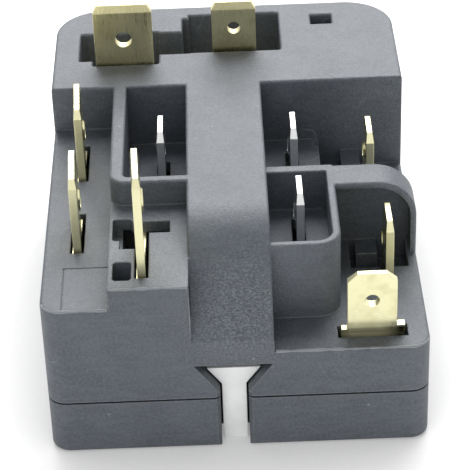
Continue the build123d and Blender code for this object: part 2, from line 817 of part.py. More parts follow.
def start_terminal():
    """Tinned terminal of the start pin: sleeve, long strip and two blades in the right pockets."""
    (front_y, front_floor, _), (rear_y, rear_floor, _) = start_blades
    top = rear_floor - roof
    low = top - terminal_strip_drop
    y0, y1 = front_y - shoulder, rear_y + small_blade + shoulder
    plate = side_plate(start_x, tinned, y0, y1, low, top)
    plate += side_plate(start_x, tinned, y0, front_y + small_blade + shoulder, low, front_floor - roof)
    plate += side_plate(start_x, tinned, y0, y0 + leg, cover_floor, low)
    plate += side_plate(start_x, tinned, rear_y - shoulder, y1, boss_top, low)
    plate += pin_sleeve(start_pin, 180)
    for y, floor, tip in start_blades:
        plate += edge_on_blade(start_x, y, small_blade, tinned, floor - roof, floor, tip)
    return plate


def common_terminal():
    """Tinned terminal of the common pin: sleeve and a strap that rests on the protector's strip."""
    sleeve_top = boss_top + sleeve_height
    x0, x1 = common_pin[0], protector_left
    strap = block(x0, x1, common_y - tinned / 2, common_y + tinned / 2, strip_top, sleeve_top)
    strap += block(x1 - tinned, x1 + leg / 2, common_y - tinned / 2, common_y + tinned / 2, strip_top,
                   strip_top + strap_foot)
    return strap + pin_sleeve(common_pin, -90)


def facing_terminal(x, y, size, tip, hole, drop):
    """Brass terminal of the rear block: blade, shoulders under the well floor and a leg to the cover."""
    half, near, far = size / 2, y - brass / 2, y + brass / 2
    low = well_underside - leg
    plate = Pos(x, y, 0) * blade(size, brass, well_underside - brass, tip, hole, drop)
    plate += block(x - half - shoulder, x + half, near, far, low, well_underside)
    return plate + block(x - leg / 2, x + leg / 2, near, far, cover_floor, low)


def line_foot():
    """Foot of the line blade: two ears of unequal height on a bend that sets it back into its slot."""
    x, half = line_tab_x + line_plate_shift, line_plate_width / 2
    top, bend_top = right_deck + line_plate_rise, right_deck + line_foot_rise
    bend_low = bend_top - line_foot_height
    front_face = [(line_tab_plane, top), (line_tab_plane, bend_top), (line_foot_plane, bend_low),
                  (line_foot_plane, fold_top)]
    outline = [(y - brass / 2, z) for y, z in front_face] + [(y + brass / 2, z) for y, z in front_face[::-1]]
    foot = along_x(outline, x - half, x + half)
    bends = [edge for edge in foot.edges().filter_by(Axis.X) if bend_low - tiny < (edge @ 0).Z < bend_top + tiny]
    foot = fillet(bends, line_foot_set_back)
    tab_left = line_tab_x - small_blade / 2
    return foot - block(tab_left - over, tab_left, line_tab_plane - brass, line_tab_plane + brass,
                        top - line_ear_step, top + over)


def line_terminal():
    """Line terminal: front blade, its foot and the bus folded back under the right deck."""
    x, half = line_tab_x + line_plate_shift, line_plate_width / 2
    near, far = line_foot_plane - brass / 2, line_foot_plane + brass / 2
    tab = blade(small_blade, brass, right_deck + line_foot_rise, line_tab_tip, small_hole, small_hole_drop,
                front_tip_corner)
    plate = Pos(line_tab_x, line_tab_plane, 0) * tab + line_foot()
    plate += block(x - half - shoulder, x + half + shoulder, near, far, fold_top, right_deck - roof)
    fold = [(near, fold_top + over), (near, bus_bottom), (bus_end, bus_bottom),
            (bus_end, protector_top), (far, protector_top), (far, fold_top + over)]
    bus = along_x(fold, bus_left, bus_left + bus_width)
    corner = bus.edges().filter_by(Axis.X).sort_by_distance((bus_left, near, bus_bottom))[0]
    return plate + fillet(corner, brass)


def bus_tab(x, y0, underside, deck, tip):
    """Brass blade that stands on the bus and passes up through the right deck."""
    plate = side_plate(x, brass, y0 - shoulder, y0 + small_blade + shoulder, protector_top, underside)
    return plate + edge_on_blade(x, y0, small_blade, brass, underside, deck, tip)


def starter_disc():
    """Ceramic starter disc, standing on edge in the spine."""
    disc = Rot(0, 90, 0) * Cylinder(disc_radius, disc_thickness)
    return Pos(*disc_centre) * chamfer(disc.edges(), disc_chamfer)


def disc_spring(side):
    """Bowed leaf spring between the disc and the spine's wall, with a tail to its terminal's plate."""
    x, y, _ = disc_centre
    half = spring_thickness / 2
    wall_x = spine_left + partition + half if side < 0 else spine_right - partition - half
    crown_x = x + side * (disc_thickness / 2 + half + fit_gap)
    plate_x = run_x + tinned / 2 + half if side < 0 else start_x - tinned / 2 - half
    bow = ThreePointArc((wall_x, y - spring_half), (crown_x, y), (wall_x, y + spring_half))
    cross_y = spring_tail_y + spring_cross
    tail = Polyline((wall_x, y + spring_half), (wall_x, spring_tail_y), (plate_x, cross_y),
                    (plate_x, cross_y + spring_lug))
    leaf = Pos(0, 0, spring_bottom) * extrude(trace([bow, tail], line_width=spring_thickness), spring_height)
    for step in (1, 2):
        z = spring_bottom + spring_height * step / 3
        leaf -= block(min(wall_x, crown_x) - half, max(wall_x, crown_x) + half, y - spring_slit_half,
                      y + spring_slit_half, z - spring_slit / 2, z + spring_slit / 2)
    return leaf


def protector_base():
    """Moulded base of the overload protector, with the stud's hole."""
    x, y = protector_centre
    plan = RectangleRounded(protector_width, protector_length, protector_corner)
    return Pos(x, y, cover_floor) * extrude(plan - Circle(stud_radius + fit_gap), protector_thick)


def line_contact_strip():
    """Strip from the end of the bus to the front fixed contact."""
    x, y = protector_centre
    half = contact_radius + strip_margin
    start = bus_end - 2 * brass
    reach = block(x - half, x + half, start, y - contact_offset + half, protector_top, strip_top)
    return reach + block(x - half, bus_left + bus_width, start, start + leg + brass, protector_top, strip_top)


def common_contact_strip():
    """Strip from the rear fixed contact to the common terminal's strap."""
    x, y = protector_centre
    half = contact_radius + strip_margin
    seat_y = y + contact_offset
    reach = block(protector_left, x + half, seat_y - half, seat_y + half, protector_top, strip_top)
    return reach + block(protector_left, protector_left + leg / 2, common_y - strip, seat_y, protector_top,
                         strip_top)


def contact(offset, z, thickness):
    """Silver contact rivet head."""
    x, y = protector_centre
    return Pos(x, y + offset, z + thickness / 2) * Cylinder(contact_radius, thickness)


def bimetal_disc():
    """Snap disc: a flat rim that carries the contacts, dished up towards the stud."""
    z = snap_disc_bottom
    bore = stud_radius + fit_gap
    mid = stud_seat_radius + fit_gap
    seat = z + snap_disc_rise
    section = [(bore, seat), (mid, seat), (snap_disc_dish, z), (snap_disc_radius, z),
               (snap_disc_radius, z + snap_disc_thick), (snap_disc_dish, z + snap_disc_thick),
               (mid, seat + snap_disc_thick), (bore, seat + snap_disc_thick)]
    face = make_face(Polyline(*[(r, 0, h) for r, h in section], close=True))
    return Pos(*protector_centre) * revolve(face, Axis.Z)


def protector_stud():
    """Adjusting stud that carries the snap disc, with a screwdriver slot in its top."""
    seat = snap_disc_bottom + snap_disc_rise
    top = seat + snap_disc_thick + nut_height + stud_end
    stud = Pos(0, 0, (cover_floor + top) / 2) * Cylinder(stud_radius, top - cover_floor)
    stud += Pos(0, 0, seat - stud_seat_thick / 2) * Cylinder(stud_seat_radius, stud_seat_thick)
    stud -= Pos(0, 0, top) * Box(2 * stud_seat_radius, stud_slot, 2 * stud_slot_depth)
    return Pos(*protector_centre) * stud


def protector_nut():
    """Hexagon nut that clamps the snap disc on its stud."""
    z = snap_disc_bottom + snap_disc_rise + snap_disc_thick
    plan = RegularPolygon(nut_across / 2, 6, major_radius=False) - Circle(stud_radius + fit_gap)
    return Pos(*protector_centre, z) * extrude(plan, nut_height)


def heater():
    """Resistance ribbon folded to and fro under the snap disc, joined to the common strip."""
    x, y = protector_centre
    x0 = x + contact_radius + strip_margin
    near, far = x0 + heater_lead, x0 + heater_lead + heater_width
    points = [(x0, y + contact_offset), (near, y + contact_offset)]
    turns = int(2 * contact_offset / heater_pitch)
    for turn in range(turns):
        ends = (near, far) if turn % 2 == 0 else (far, near)
        row = y + contact_offset - turn * heater_pitch
        points += [(ends[0], row), (ends[1], row)]
    points = [point for place, point in enumerate(points) if place == 0 or point != points[place - 1]]
    ribbon = trace(Polyline(*points), line_width=heater_ribbon)
    return Pos(0, 0, protector_top) * extrude(ribbon, heater_height)


def all_pieces():
    """Every piece of the relay by the name of its file."""
    line_offset, common_offset = -contact_offset, contact_offset
    return {
        "housing": housing(),
        "base_cover": base_cover(),
        "slot_key": slot_key(),
        "left_terminal_strip": left_terminal_strip(),
        "tall_terminal": tall_terminal(),
        "wide_rear_terminal": facing_terminal(wide_tab_x, wide_tab_plane, large_blade, wide_tab_tip,
                                              large_hole, hole_drop),
        "narrow_rear_terminal": facing_terminal(narrow_tab_x, narrow_tab_plane, small_blade, narrow_tab_tip,
                                                small_hole, small_hole_drop),
        "line_terminal": line_terminal(),
        "bay_terminal": bus_tab(bay_tab_x, front + bay_tab_front, bay_underside, right_deck, bay_tab_tip),
        "pocket_terminal": bus_tab(pocket_tab_x, pocket_tab_front, right_deck - roof, right_deck,
                                   pocket_tab_tip),
        "run_terminal": run_terminal(),
        "start_terminal": start_terminal(),
        "common_terminal": common_terminal(),
        "starter_disc": starter_disc(),
        "disc_spring_left": disc_spring(-1),
        "disc_spring_right": disc_spring(1),
        "protector_base": protector_base(),
        "line_contact_strip": line_contact_strip(),
        "common_contact_strip": common_contact_strip(),
        "line_contact": contact(line_offset, strip_top, contact_thick),
        "common_contact": contact(common_offset, strip_top, contact_thick),
        "moving_contact_line": contact(line_offset, contact_top, moving_contact_thick),
        "moving_contact_common": contact(common_offset, contact_top, moving_contact_thick),
        "bimetal_disc": bimetal_disc(),
        "protector_stud": protector_stud(),
        "protector_nut": protector_nut(),
        "heater": heater(),
    }


os.makedirs("parts", exist_ok=True)
for name, piece in all_pieces().items():
    export_step(piece, f"parts/{name}.step")
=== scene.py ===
# %% [markdown]
# # Dressing a compressor start relay
# The packed CAD model already holds every piece of the relay in its place, in metres.
# This lesson loads it as a fixed frame, sets up the studio and the camera, builds one finish for each
# material of the real relay, and adds the thin flash of the mould that only the close look shows.

import json
import math

import bpy
from mathutils import Matrix, Vector


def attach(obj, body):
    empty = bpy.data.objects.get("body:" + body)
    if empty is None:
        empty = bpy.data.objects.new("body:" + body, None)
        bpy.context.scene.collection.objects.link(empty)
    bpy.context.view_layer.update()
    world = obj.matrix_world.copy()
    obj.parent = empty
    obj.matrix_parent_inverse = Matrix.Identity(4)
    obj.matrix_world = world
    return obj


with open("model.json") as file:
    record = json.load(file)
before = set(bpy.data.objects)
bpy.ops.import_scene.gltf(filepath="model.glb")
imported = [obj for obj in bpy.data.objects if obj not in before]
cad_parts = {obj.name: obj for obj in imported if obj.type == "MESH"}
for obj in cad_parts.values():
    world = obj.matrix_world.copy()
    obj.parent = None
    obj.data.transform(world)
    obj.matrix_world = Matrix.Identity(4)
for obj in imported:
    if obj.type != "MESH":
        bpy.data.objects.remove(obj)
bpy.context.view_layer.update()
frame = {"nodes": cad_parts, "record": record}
nodes = frame["nodes"]
print("nodes loaded:", len(nodes))

# %% [markdown]
# ## Units
# The relay was measured in millimetres and Blender works in metres, so one helper turns one into the other.
# Patterns are described by the size of one grain or streak, which is easier to picture than a texture scale.

# %% Millimetres and pattern sizes
MM = 0.001


def mm(*values):
    """Millimetres as a vector in metres."""
    return Vector(values) * MM


def cells_per_metre(size_mm):
    """Texture scale that gives cells of about this size."""
    return 1.0 / (size_mm * MM)


print("one millimetre is", MM, "m")

# %% [markdown]
# ## Camera
# The relay was seen from the front and above through a long lens, which keeps its sides nearly parallel.
# A camera's matrix holds its right, up and backward directions in its columns, so the view is built from
# three angles: how far round, how high, and how far the camera is rolled about its own line of sight.

# %% Camera of the front view
CAMERA_AZIMUTH = math.radians(-0.284)
CAMERA_ELEVATION = math.radians(34.083)
CAMERA_ROLL = math.radians(2.018)
CAMERA_DISTANCE = 190.9
CAMERA_TARGET = (0.151, -25.5, 25.325)
CAMERA_LENS = 157.9
SENSOR_WIDTH = 36.0
CAMERA_NEAR, CAMERA_FAR = 0.01, 20.0


def camera_matrix():
    """Place and turn of the camera."""
    sin_a, cos_a = math.sin(CAMERA_AZIMUTH), math.cos(CAMERA_AZIMUTH)
    sin_e, cos_e = math.sin(CAMERA_ELEVATION), math.cos(CAMERA_ELEVATION)
    backward = Vector((sin_a * cos_e, -cos_a * cos_e, sin_e))
    level_right = Vector((cos_a, sin_a, 0.0))
    level_up = backward.cross(level_right)
    right = level_right * math.cos(CAMERA_ROLL) - level_up * math.sin(CAMERA_ROLL)
    up = level_right * math.sin(CAMERA_ROLL) + level_up * math.cos(CAMERA_ROLL)
    turn = Matrix((right, up, backward)).transposed().to_4x4()
    return Matrix.Translation(mm(*CAMERA_TARGET) + backward * CAMERA_DISTANCE * MM) @ turn


camera_data = bpy.data.cameras.new("camera")
camera_data.lens = CAMERA_LENS
camera_data.sensor_fit = "HORIZONTAL"
camera_data.sensor_width = SENSOR_WIDTH
camera_data.clip_start = CAMERA_NEAR
camera_data.clip_end = CAMERA_FAR
camera = bpy.data.objects.new("camera", camera_data)
bpy.context.scene.collection.objects.link(camera)
camera.matrix_world = camera_matrix()
bpy.context.scene.camera = camera
print("camera at", [round(value, 4) for value in camera.matrix_world.translation])

# %% [markdown]
# ## Node helpers
# Every finish is a small network of nodes. A few helpers keep the cells short: one fills the sockets of a
# node, one adds a node, one starts a node group with named inputs and outputs, one puts a group to use, and
# the rest do sums, stretch ranges, mix colours and make noise.

# %% Helpers for nodes
def fill_sockets(tree, node, values):
    """Links an input of the node where a socket is given for it, and else sets its value."""
    for name, value in values.items():
        if isinstance(value, bpy.types.NodeSocket):
            tree.links.new(value, node.inputs[name])
        elif value is not None:
            node.inputs[name].default_value = value


def add_node(tree, kind, inputs=None, **settings):
    """A new node with its settings and its inputs filled."""
    node = tree.nodes.new(kind)
    for name, value in settings.items():
        setattr(node, name, value)
    fill_sockets(tree, node, inputs or {})
    return node


def new_group(name, inputs, outputs, kind_of_tree="ShaderNodeTree"):
    """An empty node group. Inputs give a socket type and a default, outputs a socket type."""
    group = bpy.data.node_groups.new(name, kind_of_tree)
    for socket_name, (kind, default) in inputs.items():
        socket = group.interface.new_socket(socket_name, in_out="INPUT", socket_type=kind)
        if default is not None:
            socket.default_value = default
    for socket_name, kind in outputs.items():
        group.interface.new_socket(socket_name, in_out="OUTPUT", socket_type=kind)
    return group, group.nodes.new("NodeGroupInput"), group.nodes.new("NodeGroupOutput")


def use_group(tree, group, inputs):
    """A shader group placed in a material with its own values."""
    return add_node(tree, "ShaderNodeGroup", inputs, node_tree=group)


def math_node(tree, operation, first, second=None, third=None, clamp=False):
    """A Math node's result."""
    node = add_node(tree, "ShaderNodeMath", {0: first, 1: second, 2: third}, operation=operation,
                    use_clamp=clamp)
    return node.outputs[0]


def remap(tree, value, low, high, to_low, to_high):
    """A value stretched from one range to another, held at its ends."""
    node = add_node(tree, "ShaderNodeMapRange", {"Value": value, "From Min": low, "From Max": high,
                                                 "To Min": to_low, "To Max": to_high})
    return node.outputs["Result"]


def blend_colour(tree, share, first, second):
    """Two colours mixed by a share. A Mix node has its colours at places 6 and 7 and its result at 2."""
    node = add_node(tree, "ShaderNodeMix", {0: share, 6: first, 7: second}, data_type="RGBA")
    return node.outputs[2]


def noise(tree, place, scale, detail, roughness=0.55):
    """A noise texture's value over a place in the object."""
    node = add_node(tree, "ShaderNodeTexNoise", {"Vector": place, "Scale": scale, "Detail": detail,
                                                 "Roughness": roughness})
    return node.outputs["Fac"]


def stretched(tree, place, stretch):
    """A place scaled by a different share along each axis, which draws out what is mapped over it."""
    return add_node(tree, "ShaderNodeMapping", {"Vector": place, "Scale": stretch}).outputs["Vector"]


print("node helpers ready")

# %% [markdown]
# ## Worn edges and painted shade
# A moulded or stamped edge is never perfectly sharp: it catches the light and rubs smooth.
# A Bevel node gives the normal that a small radius would have. Where that normal leaves the face's own
# normal, the point is near an edge, and that difference is used as a mask; on the case it paints the edges
# lighter, partly as rubbed wear and partly as a painted highlight. Its opposite is the crevice, which an
# Ambient Occlusion node finds by how little of the space around the point is open, and where shade is
# painted darker into the colour.

# %% Shader group: edge mask and softened normal
MASK_SAMPLES = 6


def edge_group():
    """Mask of the edges and a normal that rolls over them."""
    group, given, result = new_group(
        "soft edges", {"Radius": ("NodeSocketFloat", 0.0002), "Sharpness": ("NodeSocketFloat", 4.0)},
        {"Edge": "NodeSocketFloat", "Normal": "NodeSocketVector"})
    bevel = add_node(group, "ShaderNodeBevel", {"Radius": given.outputs["Radius"]},
                     samples=MASK_SAMPLES)
    face = group.nodes.new("ShaderNodeNewGeometry")
    alike = add_node(group, "ShaderNodeVectorMath", {0: bevel.outputs["Normal"], 1: face.outputs["Normal"]},
                     operation="DOT_PRODUCT")
    apart = math_node(group, "SUBTRACT", 1.0, alike.outputs["Value"])
    mask = math_node(group, "MULTIPLY", apart, given.outputs["Sharpness"], clamp=True)
    group.links.new(mask, result.inputs["Edge"])
    group.links.new(bevel.outputs["Normal"], result.inputs["Normal"])
    return group


SOFT_EDGES = edge_group()
print("group made:", SOFT_EDGES.name)


# %% Shader group: crevice mask for painted shade
CREVICE_OPEN_SHARES = (0.2, 0.65)


def crevice_shade_group():
    """Mask of tight gaps and inner corners, where shade is painted darker into the colour, from 0 to 1."""
    group, given, result = new_group("painted crevice shade", {"Reach": ("NodeSocketFloat", 0.0005)},
                                     {"Crevice": "NodeSocketFloat"})
    around = add_node(group, "ShaderNodeAmbientOcclusion", {"Distance": given.outputs["Reach"]},
                      samples=MASK_SAMPLES)
    group.links.new(remap(group, around.outputs["AO"], *CREVICE_OPEN_SHARES, 1.0, 0.0),
                    result.inputs["Crevice"])
    return group


CREVICE_SHADE = crevice_shade_group()
print("group made:", CREVICE_SHADE.name)

# %% [markdown]
# ## Grain, clouds and scuffs
# Spark-eroded moulds leave a fine grain on plastic, glass fibre shows through it as a coarser mottle, rolled
# sheet has long streaks, and handling adds clouds, curved scuffs and specks of dust. Each is a mask of its
# own, so a finish takes only what it needs. Noise keeps to its middle values, so the part of its range that
# counts is stretched to run from 0 to 1.

# %% Shader group: moulded grain with clouds
GRAIN_RANGE = (0.3, 0.7)
MOTTLE_RANGE = (0.36, 0.64)
CLOUD_RANGE = (0.35, 0.65)


def grain_group():
    """Fine grain, a coarser mottle and broad clouds, all from 0 to 1."""
    group, given, result = new_group(
        "moulded grain",
        {"Grain Scale": ("NodeSocketFloat", 5000.0), "Mottle Scale": ("NodeSocketFloat", 2500.0),
         "Cloud Scale": ("NodeSocketFloat", 200.0)},
        {"Grain": "NodeSocketFloat", "Mottle": "NodeSocketFloat", "Clouds": "NodeSocketFloat"})
    place = group.nodes.new("ShaderNodeTexCoord").outputs["Object"]
    fine = noise(group, place, given.outputs["Grain Scale"], 2.0)
    middle = noise(group, place, given.outputs["Mottle Scale"], 3.0, 0.7)
    broad = noise(group, place, given.outputs["Cloud Scale"], 4.0)
    group.links.new(remap(group, fine, *GRAIN_RANGE, 0.0, 1.0), result.inputs["Grain"])
    group.links.new(remap(group, middle, *MOTTLE_RANGE, 0.0, 1.0), result.inputs["Mottle"])
    group.links.new(remap(group, broad, *CLOUD_RANGE, 0.0, 1.0), result.inputs["Clouds"])
    return group


MOULDED_GRAIN = grain_group()
print("group made:", MOULDED_GRAIN.name)


# %% Shader group: scuffs and dust
SCUFF_BAND = 0.006
SCUFF_PATCH = (0.58, 0.66)
SCUFF_PATCH_SHIFT = (0.07, 0.03, 0.05)
SPECK_SIZE = (0.05, 0.1)
SPECK_CHOICE = (0.8, 0.95)


def scuff_group():
    """Short curved scuffs in the narrow band about a noise's middle value, and sparse specks, from 0 to 1."""
    group, given, result = new_group(
        "scuffs and dust",
        {"Scuff Scale": ("NodeSocketFloat", 300.0), "Speck Scale": ("NodeSocketFloat", 600.0)},
        {"Scuffs": "NodeSocketFloat", "Specks": "NodeSocketFloat"})
    place = group.nodes.new("ShaderNodeTexCoord").outputs["Object"]
    wave = noise(group, place, given.outputs["Scuff Scale"], 1.0)
    away = math_node(group, "ABSOLUTE", math_node(group, "SUBTRACT", wave, 0.5))
    line = remap(group, away, 0.0, SCUFF_BAND, 1.0, 0.0)
    moved = add_node(group, "ShaderNodeMapping", {"Vector": place, "Location": SCUFF_PATCH_SHIFT})
    patch = noise(group, moved.outputs["Vector"], given.outputs["Scuff Scale"], 2.0)
    group.links.new(math_node(group, "MULTIPLY", line, remap(group, patch, *SCUFF_PATCH, 0.0, 1.0)),
                    result.inputs["Scuffs"])
    cells = add_node(group, "ShaderNodeTexVoronoi", {"Vector": place, "Scale": given.outputs["Speck Scale"]})
    dot = remap(group, cells.outputs["Distance"], *SPECK_SIZE, 1.0, 0.0)
    chosen = add_node(group, "ShaderNodeSeparateColor", {"Color": cells.outputs["Color"]})
    few = remap(group, chosen.outputs["Red"], *SPECK_CHOICE, 0.0, 1.0)
    group.links.new(math_node(group, "MULTIPLY", dot, few), result.inputs["Specks"])
    return group


SCUFFS = scuff_group()
print("group made:", SCUFFS.name)


# %% Shader group: rolled sheet metal
ROLLING_STRETCH = (1.0, 1.0, 0.08)
STREAK_RANGE = (0.25, 0.75)
TARNISH_RANGE = (0.45, 0.7)


def rolled_group():
    """Fine streaks along the strip that a blade was stamped from, and clouds of tarnish, from 0 to 1."""
    group, given, result = new_group(
        "rolled sheet",
        {"Streak Scale": ("NodeSocketFloat", 4000.0), "Spot Scale": ("NodeSocketFloat", 500.0)},
        {"Streaks": "NodeSocketFloat", "Tarnish": "NodeSocketFloat"})
    place = group.nodes.new("ShaderNodeTexCoord").outputs["Object"]
    streak = noise(group, stretched(group, place, ROLLING_STRETCH), given.outputs["Streak Scale"], 1.0)
    spot = noise(group, place, given.outputs["Spot Scale"], 4.0, 0.6)
    group.links.new(remap(group, streak, *STREAK_RANGE, 0.0, 1.0), result.inputs["Streaks"])
    group.links.new(remap(group, spot, *TARNISH_RANGE, 0.0, 1.0), result.inputs["Tarnish"])
    return group


ROLLED_SHEET = rolled_group()
print("group made:", ROLLED_SHEET.name)

# %% [markdown]
# ## Starting a finish
# Each finish starts from the same Principled surface. Values that are the same all over are set on the
# shader itself, and only what changes over the surface is linked.

# %% A plain Principled material
def new_finish(name, **sockets):
    """A material with one Principled shader, and its tree and shader for the finish to build on."""
    material = bpy.data.materials.new(name)
    material.use_nodes = True
    tree = material.node_tree
    shader = tree.nodes["Principled BSDF"]
    fill_sockets(tree, shader, sockets)
    return material, tree, shader


def add_relief(tree, shader, height, depth_mm, strength=1.0, normal=None):
    """Height that the shader's normal follows, on top of a normal that is already there."""
    bump = add_node(tree, "ShaderNodeBump", {"Height": height, "Distance": depth_mm * MM,
                                             "Strength": strength, "Normal": normal})
    tree.links.new(bump.outputs["Normal"], shader.inputs["Normal"])


print("finish helpers ready")

# %% [markdown]
# ## Case plastic
# The case is a glass-filled nylon, moulded dark grey with a spark-eroded grain. It is nearly matt, but the
# grain and the glass fibre glitter where they catch the lamp. The edges are painted lighter, partly as
# rubbed wear and partly as a painted highlight, and shade is painted darker into the gaps. Where the nose
# rolls over, lighter fine short streaks are painted, partly as drag marks from the steel of the mould and
# partly as a painted highlight on the roll. That place is found by its distance from a point on the object,
# so it stays put from every side. On the upright walls faint flow marks lie level, as the melt rose in the
# mould, so their noise is stretched.

# %% Finish: case plastic
CASE_DARK = (0.049, 0.057, 0.071, 1.0)
CASE_LIGHT = (0.113, 0.127, 0.145, 1.0)
# rubbed wear and painted highlight: the lighter colour of worn edges, scuffs, dust, the nose streaks and the
# flash
CASE_RUBBED_AND_HIGHLIT = (0.24, 0.255, 0.27, 1.0)
# painted shade: tight gaps and inner corners are darkened towards this colour
CASE_GAP_SHADE = (0.012, 0.014, 0.018, 1.0)
PLASTIC_IOR = 1.5
CASE_EDGE_RADIUS = 0.27 * MM
CASE_GAP_SHADE_REACH = 0.6 * MM
CASE_PATTERNS = {"Grain Scale": cells_per_metre(0.16), "Mottle Scale": cells_per_metre(0.3),
                 "Cloud Scale": cells_per_metre(6.0)}
CASE_MARKS = {"Scuff Scale": cells_per_metre(8.5), "Speck Scale": cells_per_metre(1.6)}
MOTTLE_SHARE, CLOUD_SHARE = 0.5, 0.2
FLOW_MARK_SCALE = cells_per_metre(0.55)
FLOW_MARK_STRETCH = (0.22, 0.22, 1.0)
FLOW_RANGE = (0.35, 0.65)
FLOW_SHARES = (0.04, 0.26)
NOSE_ROLL = (0.5, -24.0, 15.5)
NOSE_ROLL_REACH = (2.5, 8.5)
NOSE_STREAK_SCALE = cells_per_metre(0.15)
NOSE_STREAK_STRETCH = (0.6, 1.0, 1.0)
NOSE_STREAK_RANGE = (0.43, 0.64)
NOSE_STREAK_HIGHLIGHT_SHARE = 0.55
RUBBED_AND_HIGHLIT_SHARES = (0.35, 0.95)
SCUFF_SHARE, SPECK_SHARE = 0.45, 0.8
CASE_MATT, CASE_SATIN, WORN_POLISH = 0.56, 0.42, 0.08
CASE_RELIEF_MM = 0.03
GRAIN_IN_RELIEF, MOTTLE_IN_RELIEF = 0.6, 0.4


def near_point(tree, point, inner_mm, outer_mm):
    """Share that is 1 near a point of the object and falls to 0 further out."""
    place = tree.nodes.new("ShaderNodeTexCoord").outputs["Object"]
    gap = add_node(tree, "ShaderNodeVectorMath", {0: place, 1: mm(*point)}, operation="DISTANCE")
    return remap(tree, gap.outputs["Value"], inner_mm * MM, outer_mm * MM, 1.0, 0.0)


def case_colour(tree, grain):
    """Colour of the unworn case: mottle, clouds and flow marks, and lighter streaks on the roll of the nose,
    partly drag marks and partly a painted highlight.
    """
    place = tree.nodes.new("ShaderNodeTexCoord").outputs["Object"]
    flow = noise(tree, stretched(tree, place, FLOW_MARK_STRETCH), FLOW_MARK_SCALE, 3.0)
    depth = math_node(tree, "MULTIPLY_ADD", grain.outputs["Mottle"], MOTTLE_SHARE,
                      math_node(tree, "MULTIPLY_ADD", grain.outputs["Clouds"], CLOUD_SHARE,
                                remap(tree, flow, *FLOW_RANGE, *FLOW_SHARES)))
    streak = noise(tree, stretched(tree, place, NOSE_STREAK_STRETCH), NOSE_STREAK_SCALE, 3.0, 0.7)
    streak = remap(tree, streak, *NOSE_STREAK_RANGE, 0.0, 1.0)
    # lighter streaks on the roll of the nose: partly drag marks, partly a painted highlight on the roll
    roll_streaks_and_highlight = math_node(tree, "MULTIPLY", near_point(tree, NOSE_ROLL, *NOSE_ROLL_REACH), NOSE_STREAK_HIGHLIGHT_SHARE)
    return blend_colour(tree, roll_streaks_and_highlight, blend_colour(tree, depth, CASE_DARK, CASE_LIGHT),
                        blend_colour(tree, streak, CASE_DARK, CASE_RUBBED_AND_HIGHLIT))


def case_plastic(name="case plastic", painted_highlight=0.0):
    """Dark moulded plastic with grain, mottle, clouds, streaks, scuffs and dust, edges painted lighter as
    wear and highlight, and painted shade in the gaps.
    """
    material, tree, shader = new_finish(name, IOR=PLASTIC_IOR)
    edges = use_group(tree, SOFT_EDGES, {"Radius": CASE_EDGE_RADIUS, "Sharpness": 4.0})
    gap_shade = use_group(tree, CREVICE_SHADE, {"Reach": CASE_GAP_SHADE_REACH})
    grain = use_group(tree, MOULDED_GRAIN, CASE_PATTERNS)
    marks = use_group(tree, SCUFFS, CASE_MARKS)
    base = case_colour(tree, grain)
    # edges painted lighter, partly rubbed wear and partly painted highlight
    rubbed_and_highlit = math_node(tree, "MULTIPLY", edges.outputs["Edge"],
                       remap(tree, grain.outputs["Mottle"], 0.0, 1.0, *RUBBED_AND_HIGHLIT_SHARES))
    scuffed = math_node(tree, "MAXIMUM", math_node(tree, "MULTIPLY", marks.outputs["Scuffs"], SCUFF_SHARE),
                        math_node(tree, "MULTIPLY", marks.outputs["Specks"], SPECK_SHARE))
    # scuffs, dust and rubbed edges, plus the painted highlight that the flash is given
    worn_and_highlit = math_node(tree, "ADD", math_node(tree, "MAXIMUM", rubbed_and_highlit, scuffed), painted_highlight, clamp=True)
    surface = blend_colour(tree, worn_and_highlit, base, CASE_RUBBED_AND_HIGHLIT)
    matt = remap(tree, grain.outputs["Grain"], 0.0, 1.0, CASE_MATT, CASE_SATIN)
    fill_sockets(tree, shader, {
        # shade painted into the gaps: the crevice mask darkens the colour towards the painted shade colour
        "Base Color": blend_colour(tree, gap_shade.outputs["Crevice"], surface, CASE_GAP_SHADE),
        "Roughness": math_node(tree, "SUBTRACT", matt, math_node(tree, "MULTIPLY", worn_and_highlit, WORN_POLISH))})
    relief = math_node(tree, "MULTIPLY_ADD", grain.outputs["Grain"], GRAIN_IN_RELIEF,
                       math_node(tree, "MULTIPLY", grain.outputs["Mottle"], MOTTLE_IN_RELIEF))
    add_relief(tree, shader, relief, CASE_RELIEF_MM, normal=edges.outputs["Normal"])
    return material


print("finish made:", case_plastic.__doc__)

# %% [markdown]
# ## White plastic
# The key in the front slot is moulded in a bright white, a little glossier than the case.

# %% Finish: white plastic
KEY_SHADED = (0.78, 0.785, 0.78, 1.0)
KEY_WHITE = (0.86, 0.865, 0.86, 1.0)
KEY_EDGE_RADIUS = 0.15 * MM
KEY_PATTERNS = {"Grain Scale": cells_per_metre(0.3), "Mottle Scale": cells_per_metre(1.0),
                "Cloud Scale": cells_per_metre(2.5)}
KEY_ROUGHNESS = (0.3, 0.42)
KEY_RELIEF_MM = 0.004


def white_plastic():
    """White moulded plastic with soft clouds and rolled edges."""
    material, tree, shader = new_finish("white plastic", IOR=PLASTIC_IOR)
    edges = use_group(tree, SOFT_EDGES, {"Radius": KEY_EDGE_RADIUS, "Sharpness": 3.0})
    grain = use_group(tree, MOULDED_GRAIN, KEY_PATTERNS)
    fill_sockets(tree, shader, {
        "Base Color": blend_colour(tree, grain.outputs["Clouds"], KEY_SHADED, KEY_WHITE),
        "Roughness": remap(tree, grain.outputs["Grain"], 0.0, 1.0, *KEY_ROUGHNESS)})
    add_relief(tree, shader, grain.outputs["Grain"], KEY_RELIEF_MM, strength=0.6,
               normal=edges.outputs["Normal"])
    return material


print("finish made:", white_plastic.__doc__)

